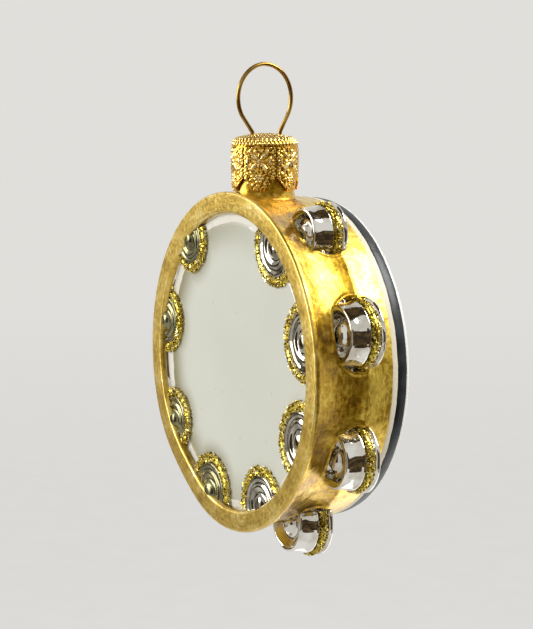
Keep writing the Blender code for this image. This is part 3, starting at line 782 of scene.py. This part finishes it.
# %% Inner jingle faces
# (radius, height over the painted face): hub, groove, ridge, groove, rim, foot
INNER_PROFILE = ((0.0, 1.5), (0.8, 1.46), (1.4, 1.32), (1.9, 1.02), (2.2, 0.74), (2.6, 0.6),
                 (3.0, 0.72), (3.4, 0.9), (3.8, 0.92), (4.15, 0.76), (4.5, 0.66), (4.9, 0.74),
                 (5.3, 0.82), (5.65, 0.72), (5.95, 0.4), (6.1, 0.0), (6.15, -0.5), (0.0, -0.5))

inner_line = [(radius, -RECESS_DEPTH + height * MM) for radius, height in INNER_PROFILE]
for number, station in enumerate(INNER_STATIONS, 1):
    make_jingle(f"inner_jingle_{number}", inner_line, station, INNER_CENTRE, 0.09 * MM,
                number + 20, 0.6 * MM, True, dull_left_silver if number > 4 else shaded_inner_silver)

# %% [markdown]
# ## Glitter
# A bead of clear glue round each jingle, thick with grains. The glue is a thin tube swept along
# the arc, and each grain is a small flat box turned at random, so its faces catch the light.

# %% Glitter beads
GRAINS = 480
CLUMP = 30
GLUE_SECTIONS = 48


def bead_place(sweep, height, outward, swing):
    """A point of the bead's middle line, and the direction outward there."""
    side = 1 if outward else -1
    spoke = Vector((sin(swing), side * cos(swing), 0.0))
    return spoke * sweep + Vector((0.0, 0.0, height)), spoke


def glue_tube(bm, sweep, height, outward, half_swing, across, deep, seed):
    """A closed tube of oval rings, bridged one to the next."""
    for step in range(GLUE_SECTIONS + 1):
        swing = half_swing * (2 * step / GLUE_SECTIONS - 1)
        spot, spoke = bead_place(sweep, height, outward, swing)
        along = spoke.cross(Vector((0, 0, 1)))
        facing = Matrix((spoke, Vector((0, 0, 1)), along)).transposed().to_4x4()
        swell = 0.86 + 0.2 * noise.noise(Vector((step * 0.35, seed, 0.0)))
        oval = Matrix.Diagonal((across * swell, deep * swell, 1.0, 1.0))
        ring = bmesh.ops.create_circle(bm, cap_ends=False, radius=1.0, segments=10,
                                       matrix=Matrix.Translation(spot) @ facing @ oval)["verts"]
        edges = {edge for vert in ring for edge in vert.link_edges}
        if step in (0, GLUE_SECTIONS):
            bmesh.ops.contextual_create(bm, geom=list(edges))
        if step:
            bmesh.ops.bridge_loops(bm, edges=list(edges | last))
        last = edges
    bmesh.ops.recalc_face_normals(bm, faces=bm.faces)


def glitter_bead(node, station, centre, sweep, height, half_swing, outward, across, deep, seed):
    """Glue and grains round one jingle."""
    chance = Random(seed)
    sweep *= station[1]
    bm = bmesh.new()
    glue_tube(bm, sweep, height, outward, half_swing, across, deep, seed)
    # Grains are made a clump at a time, because an operator slows down as its mesh grows.
    for _ in range(GRAINS // CLUMP):
        clump = bmesh.new()
        for _ in range(CLUMP):
            swing = half_swing * chance.uniform(-1.02, 1.02)
            spot, spoke = bead_place(sweep, height, outward, swing)
            round_it = chance.uniform(-pi, pi)
            reach = chance.uniform(0.86, 1.1)
            spot += spoke * across * reach * cos(round_it)
            spot += Vector((0, 0, deep * reach * sin(round_it)))
            grain = chance.uniform(0.28, 0.44) * MM
            tumble = Matrix.Rotation(chance.uniform(0, 2 * pi), 4, Vector(
                (chance.gauss(0, 1), chance.gauss(0, 1), chance.gauss(0, 1))).normalized())
            flat = Matrix.Diagonal((1.0, chance.uniform(0.6, 1.0), 0.3, 1.0))
            bmesh.ops.create_cube(clump, size=grain,
                                  matrix=Matrix.Translation(spot) @ tumble @ flat)
        carrier = to_mesh("clump", clump)
        bm.from_mesh(carrier)
        bpy.data.meshes.remove(carrier)
    finish_piece(node + "_grains", bm, glitter_film, "drum", (node,),
                 STAND_UP @ station_matrix(station, centre), sharp=20)


# Each bead: the radius of its sweep, its height, half its sweep, which way it faces from the
# drum's axis, and half its width and depth
for number, station in enumerate(OUTER_STATIONS, 1):
    glitter_bead(f"outer_glitter_{number}", station, OUTER_CENTRE, 6.05 * MM, -10.3 * MM,
                 radians(95), True, 0.5 * MM, 0.66 * MM, number)
for number, station in enumerate(INNER_STATIONS, 1):
    glitter_bead(f"inner_glitter_{number}", station, INNER_CENTRE, 6.75 * MM,
                 -RECESS_DEPTH + 0.3 * MM, radians(82), False, 0.9 * MM, 0.62 * MM, number + 30)

# %% [markdown]
# ## Neck
# A short glass tube, lacquered gold outside with the rim. It shows in the notches between the
# cap's petals, and whole when the cap is pulled off. Its foot flares into the drum.

# %% Neck
NECK_FOOT = 29.8 * MM  # above the drum's axis, just inside the ring
NECK_FLARE = 1.3 * MM
neck_top = CAP_TOP - 1.2 * MM
neck_base = DRUM_CENTRE.z + NECK_FOOT
neck_line = []
for step in range(33):
    height = neck_base + (neck_top - neck_base) * step / 32
    flare = NECK_FLARE * exp(-(height - neck_base) / (0.9 * MM))
    neck_line.append((NECK_RADIUS + flare, height))
bore = NECK_RADIUS - GLASS_WALL
neck_line += [(NECK_RADIUS - GLASS_WALL / 2, neck_top + 0.2 * MM), (bore, neck_top),
              (bore, neck_base)]
neck_bm = turn(neck_line, 120, closed=True)
finish_piece("neck", neck_bm, wall_gold, "drum", ("glass_body",),
             Matrix.Identity(4))

# %% [markdown]
# ## Crown cap
# Thin tinplate drawn over a die: a domed top with rows of dots, and six petals with a leaf cross
# and a rosette on each. A petal is spun as part of a cylinder, its tip cut by two planes, and
# five more are turned from it. The relief is then pressed in by a function of angle and height.

# %% Cap blank
PETALS = 6
STEPS_PER_PETAL = 50
PETAL_TURN = radians(50)
CAP_HEIGHT = cap_high.z - cap_low.z
CAP_CROWN = 0.6 * MM
CAP_ROUNDING = 1.7 * MM
SLIT_TOP = 2.4 * MM
NOTCH_HEIGHT = 2.5 * MM
PETAL_TIP = 1.6 * MM
PRESSED_DEPTH = 0.26 * MM
SHEET_THICKNESS = 0.22 * MM
step_angle = 2 * pi / (PETALS * STEPS_PER_PETAL)
shoulder = CAP_RADIUS - CAP_ROUNDING
crown_line = [(shoulder * step / 36, -CAP_CROWN * (step / 36) ** 2) for step in range(36)]
crown_line += arc_points((shoulder, -CAP_CROWN - CAP_ROUNDING), CAP_ROUNDING, CAP_ROUNDING,
                         pi / 2, 14)
side_top = -CAP_CROWN - CAP_ROUNDING
crown_line += [(CAP_RADIUS, side_top + (-SLIT_TOP - side_top) * step / 4)
               for step in (1, 2, 3, 4)]
cap_bm = turn(crown_line, PETALS * STEPS_PER_PETAL)

rows = 64
petal_line = [(CAP_RADIUS, -SLIT_TOP - (CAP_HEIGHT - SLIT_TOP) * step / rows)
              for step in range(rows + 1)]
petal_bm = turn(petal_line, STEPS_PER_PETAL - 2, angle=step_angle * (STEPS_PER_PETAL - 2))
bmesh.ops.rotate(petal_bm, cent=(0, 0, 0), matrix=Matrix.Rotation(step_angle, 3, 'Z'),
                 verts=petal_bm.verts)
middle = step_angle * STEPS_PER_PETAL / 2
half_petal = CAP_RADIUS * sin(middle - step_angle)
lean = (half_petal - PETAL_TIP / 2) / NOTCH_HEIGHT
across = Vector((-sin(middle), cos(middle), 0.0))
for side in (-1, 1):
    corner = across * side * half_petal + Vector((0, 0, -CAP_HEIGHT + NOTCH_HEIGHT))
    plane = across * side + Vector((0, 0, -lean))
    slice_off(petal_bm, corner, plane)
petal_mesh = to_mesh("petal", petal_bm)
for number in range(PETALS):
    before = set(cap_bm.verts)
    cap_bm.from_mesh(petal_mesh)
    fresh = [vert for vert in cap_bm.verts if vert not in before]
    bmesh.ops.rotate(cap_bm, cent=(0, 0, 0), verts=fresh,
                     matrix=Matrix.Rotation(2 * middle * number, 3, 'Z'))
bpy.data.meshes.remove(petal_mesh)
bmesh.ops.remove_doubles(cap_bm, verts=cap_bm.verts, dist=0.01 * MM)
bmesh.ops.recalc_face_normals(cap_bm, faces=cap_bm.faces)


# %% [markdown]
# The relief is a height between 0 and 1 over the sheet. `x` runs round the petal from its
# middle and `y` down from the cap's top, both in millimetres. Leaves are stretched rounded
# shapes round a centre, dots are small domes on a grid or a ring.

# %% Pressed relief
CROSS_Y, ROSE_Y = 5.0, 8.3  # where the leaf cross and the rosette sit on a petal
DOT_GAP = 0.62
# Each ring of dots on the crown: its radius and how many
DOT_RINGS = ((0.9, 6), (1.7, 12), (2.5, 18), (3.3, 24), (4.1, 30), (4.85, 36), (5.6, 42),
             (6.3, 46), (7.0, 48))


def dome(distance, radius):
    """A dot's height at a distance from its middle."""
    return max(0.0, 1 - (distance / radius) ** 2) ** 0.5 if distance < radius else 0.0


def leaf(x, y, heading, start, length, width):
    """A pointed leaf that starts a little way from (0, 0) along a heading."""
    along = x * cos(heading) + y * sin(heading) - start
    aside = -x * sin(heading) + y * cos(heading)
    if not 0 < along < length:
        return 0.0
    half = width * sin(pi * along / length) ** 0.8
    return dome(abs(aside), half) if half > 0.01 else 0.0


def petal_relief(x, y):
    """The highest of everything that is stamped on a petal."""
    def dot(dot_x, dot_y, radius):
        return dome(hypot(x - dot_x, y - dot_y), radius)

    heights = [dot(0.0, CROSS_Y, 0.32), dot(0.0, ROSE_Y, 0.3)]
    for spoke in range(4):
        turned = spoke * pi / 2
        heights.append(leaf(x, y - CROSS_Y, turned + pi / 4, 0.35, 1.9, 0.34))
        heights.append(0.8 * leaf(x, y - CROSS_Y, turned, 0.3, 1.1, 0.2))
    for spoke in range(6):
        turned = spoke * pi / 3
        heights.append(dot(DOT_GAP * cos(turned), ROSE_Y + DOT_GAP * sin(turned), 0.3))
    for side in (-1, 1):
        if 2.8 < y < 8.0:
            heights.append(0.8 * dot(side * 2.75, round(y / DOT_GAP) * DOT_GAP, 0.2))
        heights.append(0.7 * leaf(x - side * 1.3, y - 7.2, side * 0.5 - pi / 2, 0.0, 1.5, 0.22))
        heights.append(0.9 * leaf(x - side * 2.3, y - CROSS_Y, pi / 2, -0.9, 1.8, 0.26))
        heights += [dot(side * 1.7, 3.2, 0.26), dot(side * 0.6, 3.1, 0.22),
                    0.8 * dot(side * 1.15, 9.4, 0.24)]
    # Between the leaves the die left the sheet pebbled.
    pebble = 0.5 + noise.noise(Vector((x * 2.1, y * 2.1, 3.0)))
    return max(0.55 * ease(pebble * 1.4 - 0.35), *heights)


def crown_relief(radius, angle):
    """Rings of dots on the domed top and its rounded edge."""
    best = 0.0
    for ring, count in DOT_RINGS:
        turned = round(angle / (2 * pi) * count) * 2 * pi / count
        gap = hypot(radius - ring, radius * (angle - turned))
        best = max(best, dome(gap, 0.33))
    return best


def press_cap(bm, depth):
    """Move the sheet along its normals by the relief, and keep the relief for the painted shade
    and highlight of the colour.
    """
    layer = bm.verts.layers.float.new("relief")
    bm.normal_update()
    moves = []
    for vert in bm.verts:
        down = -vert.co.z / MM  # the relief is written in millimetres
        around = atan2(vert.co.y, vert.co.x)
        radius = hypot(vert.co.x, vert.co.y) / MM
        if down < SLIT_TOP / MM:
            slant = radius + max(0.0, down - 0.6) * 0.7
            height = crown_relief(slant, around)
        else:
            local = (around % (2 * middle)) - middle
            height = petal_relief(local * CAP_RADIUS / MM, down)
        vert[layer] = height
        moves.append((vert, vert.normal * depth * (height - 0.35)))
    for vert, move in moves:
        vert.co += move


press_cap(cap_bm, PRESSED_DEPTH)
for vert in cap_bm.verts:
    crush = 0.10 * MM * noise.noise(vert.co / (4 * MM)) * ease((-vert.co.z - SLIT_TOP) / (3 * MM))
    vert.co += Vector((vert.co.x, vert.co.y, 0)).normalized() * crush
cap_place = Matrix.Translation((0, 0, CAP_TOP)) @ Matrix.Rotation(PETAL_TURN, 4, 'Z')
cap = finish_piece("crown_cap", cap_bm, cap_metal, "cap", ("cap",), cap_place)
sheet = cap.modifiers.new("sheet", 'SOLIDIFY')
sheet.thickness = SHEET_THICKNESS
sheet.offset = -1.0

# %% [markdown]
# ## Wire hanger
# One piece of brass wire bent into a loop, its two legs pushed down through the cap's holes and
# sprung outwards in the neck. It is swept as a curve with a round bevel. The loop is a little
# fuller on one side, as a hand-bent one is.

# %% Wire
wire_low, wire_high = (Vector(corner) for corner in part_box("hanger_wire"))
WIRE_RADIUS = (wire_high.x - wire_low.x) / 2
HALF_SPACING = 3.0 * MM
HOLES_BEHIND = 0.3 * MM
LOOP_HALF_WIDTH = 5.75 * MM
LOOP_HALF_HEIGHT = 6.4 * MM
LEG_SPLAY = 0.45 * MM


def wire_half(side):
    """Points from the loop's crown to a leg's end, on one side."""
    points = []
    centre = WIRE_RADIUS - LOOP_HALF_HEIGHT
    for step in range(1, 25):
        angle = pi / 2 - radians(120) * step / 24
        points.append((0.0, side * LOOP_HALF_WIDTH * cos(angle),
                       centre + LOOP_HALF_HEIGHT * sin(angle)))
    hole = HOLES_BEHIND + side * HALF_SPACING
    return points + [(0.0, hole, CAP_TOP + 0.3 * MM), (0.0, hole, CAP_TOP - 0.7 * MM),
                     (0.0, hole + side * LEG_SPLAY * 0.5, CAP_TOP - 6.5 * MM),
                     (0.0, hole + side * LEG_SPLAY, wire_low.z)]


wire_points = wire_half(-1)[::-1] + [(0.0, 0.0, WIRE_RADIUS)] + wire_half(1)
curve = bpy.data.curves.new("wire", 'CURVE')
curve.dimensions = '3D'
curve.bevel_depth = WIRE_RADIUS
curve.bevel_resolution = 5
curve.use_fill_caps = True
spline = curve.splines.new('POLY')
spline.points.add(len(wire_points) - 1)
for spot, point in zip(spline.points, wire_points):
    spot.co = (*point, 1.0)
curve.materials.append(wire_brass)
wire = new_object("brass_hanger", curve, looks)
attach(wire, "hanger")
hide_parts("hanger_wire")

# %% [markdown]
# ## Backdrop, light and camera
# A sheet of pale paper lies well below the ornament, and the world behind it has the same tone.
# Mirror finishes show whatever is round them, so beside the soft lamps there are cards of brown
# cloth out of the camera's sight, as a product photographer sets up for silver and glass.

# %% Backdrop
BACKDROP = "#E0DFDB"
FLOOR_HEIGHT = -0.30
FLOOR_HALF_SIDE = 3.0


def seen_directly(tree):
    """1 for the camera's own rays and for those from a mirror."""
    rays = add(tree, "LightPath").outputs
    return maths(tree, 'MAXIMUM', rays["Is Camera Ray"], rays["Is Glossy Ray"])


def make_backdrop_paper():
    material, tree, shader, coords = new_material("pale_backdrop_paper")
    tooth = cloud(tree, coords, 40.0, 2.0)
    near = ramp(tree, tooth, (0.3, "#E1E0DE"), (0.7, "#E3E2E0"))
    # With distance from the middle the paper takes the colour of the world behind it.
    far = spread(tree, vectors(tree, 'LENGTH', coords), 0.0, 1.0, 0.7, 2.4)
    colour = blend(tree, far, near, linear(BACKDROP))
    glow = add(tree, "Emission", {"Strength": 1.0, "Color": colour}).outputs["Emission"]
    share = maths(tree, 'MULTIPLY', seen_directly(tree), spread(tree, far, 0.8, 1.0))
    mixed = add(tree, "MixShader", {0: share, 1: shader.outputs["BSDF"], 2: glow})
    fill(tree, shader, {"Base Color": colour, "Roughness": 0.9})
    fill(tree, tree.nodes["Material Output"], {"Surface": mixed.outputs[0]})
    return material


floor_bm = bmesh.new()
bmesh.ops.create_grid(floor_bm, x_segments=1, y_segments=1, size=FLOOR_HALF_SIDE)
bmesh.ops.translate(floor_bm, vec=(0, 0, FLOOR_HEIGHT), verts=floor_bm.verts)
floor = new_object("floor", to_mesh("floor", floor_bm, make_backdrop_paper()), studio)


# %% World and lamps
def make_world():
    world = bpy.data.worlds.new("studio")
    bpy.context.scene.world = world
    world.use_nodes = True
    tree = world.node_tree
    fill(tree, tree.nodes["Background"], {
        "Color": linear(BACKDROP), "Strength": spread(tree, seen_directly(tree), 0.55, 1.0)})


def soft_lamp(name, place, size, power):
    lamp = bpy.data.lights.new(name, 'AREA')
    lamp.shape = 'DISK'
    lamp.size = size
    lamp.energy = power
    obj = new_object(name, lamp, studio)
    obj.location = place
    aim = DRUM_CENTRE - Vector(place)
    obj.rotation_euler = aim.to_track_quat('-Z', 'Y').to_euler()
    obj.visible_camera = False


def dark_card(name, place, width, height, cloth):
    """A card of crumpled cloth that only reflections see."""
    bm = bmesh.new()
    bmesh.ops.create_grid(bm, x_segments=1, y_segments=1, size=0.5)
    bmesh.ops.scale(bm, vec=(width, height, 1), verts=bm.verts)
    aim = (DRUM_CENTRE - Vector(place)).to_track_quat('Z', 'Y').to_matrix().to_4x4()
    bmesh.ops.transform(bm, matrix=Matrix.Translation(place) @ aim, verts=bm.verts)
    material, tree, shader, coords = new_material(name + "_cloth")
    folds = cloud(tree, coords, 9.0, 2.0)
    colour = ramp(tree, folds, (0.4, cloth[0]), (0.6, cloth[1]))
    fill(tree, shader, {"Base Color": colour, "Roughness": 1.0})
    card = new_object(name, to_mesh(name, bm, material), studio)
    card.visible_camera = False
    card.visible_diffuse = False
    card.visible_shadow = False


BROWN_CLOTH = ("#2A1D0C", "#5E4A2A")
GREY_CLOTH = ("#3A3222", "#B0A890")
# Each lamp: name, place, diameter and power
LAMPS = (("key_behind", (0.22, 0.38, 0.40), 0.42, 5.0),
         ("fill_front", (-0.36, -0.52, 0.10), 0.45, 3.2),
         ("floor_bounce", (-0.02, 0.14, -0.27), 0.26, 0.15))
# Each card: name, place, width, height and cloth
CARDS = (("back_right_card", (0.47, 0.17, -0.115), 0.46, 0.38, BROWN_CLOTH),
         ("floor_card", (0.29, 0.15, -0.27), 0.30, 0.24, BROWN_CLOTH),
         ("camera_side_card", (0.46, -0.20, -0.08), 0.42, 0.44, BROWN_CLOTH),
         ("front_card", (0.02, -0.52, -0.10), 0.40, 0.44, BROWN_CLOTH),
         ("left_card", (-0.43, -0.245, -0.10), 0.26, 0.30, GREY_CLOTH),
         ("overhead_card", (0.05, 0.0, 0.46), 0.60, 0.46, BROWN_CLOTH))

make_world()
for lamp in LAMPS:
    soft_lamp(*lamp)
for card in CARDS:
    dark_card(*card)

# %% Camera
CAMERA_PLACE = (0.3479, -0.1980, -0.0017)
LOOKING_AT = Vector((0.00244, -0.00103, -0.04691))
camera_data = bpy.data.cameras.new("photo_camera")
camera_data.lens = 120.5
camera = new_object("photo_camera", camera_data, studio)
camera.location = CAMERA_PLACE
camera.rotation_euler = (LOOKING_AT - camera.location).to_track_quat('-Z', 'Y').to_euler()
bpy.context.scene.camera = camera
bpy.context.scene.view_settings.view_transform = 'Standard'
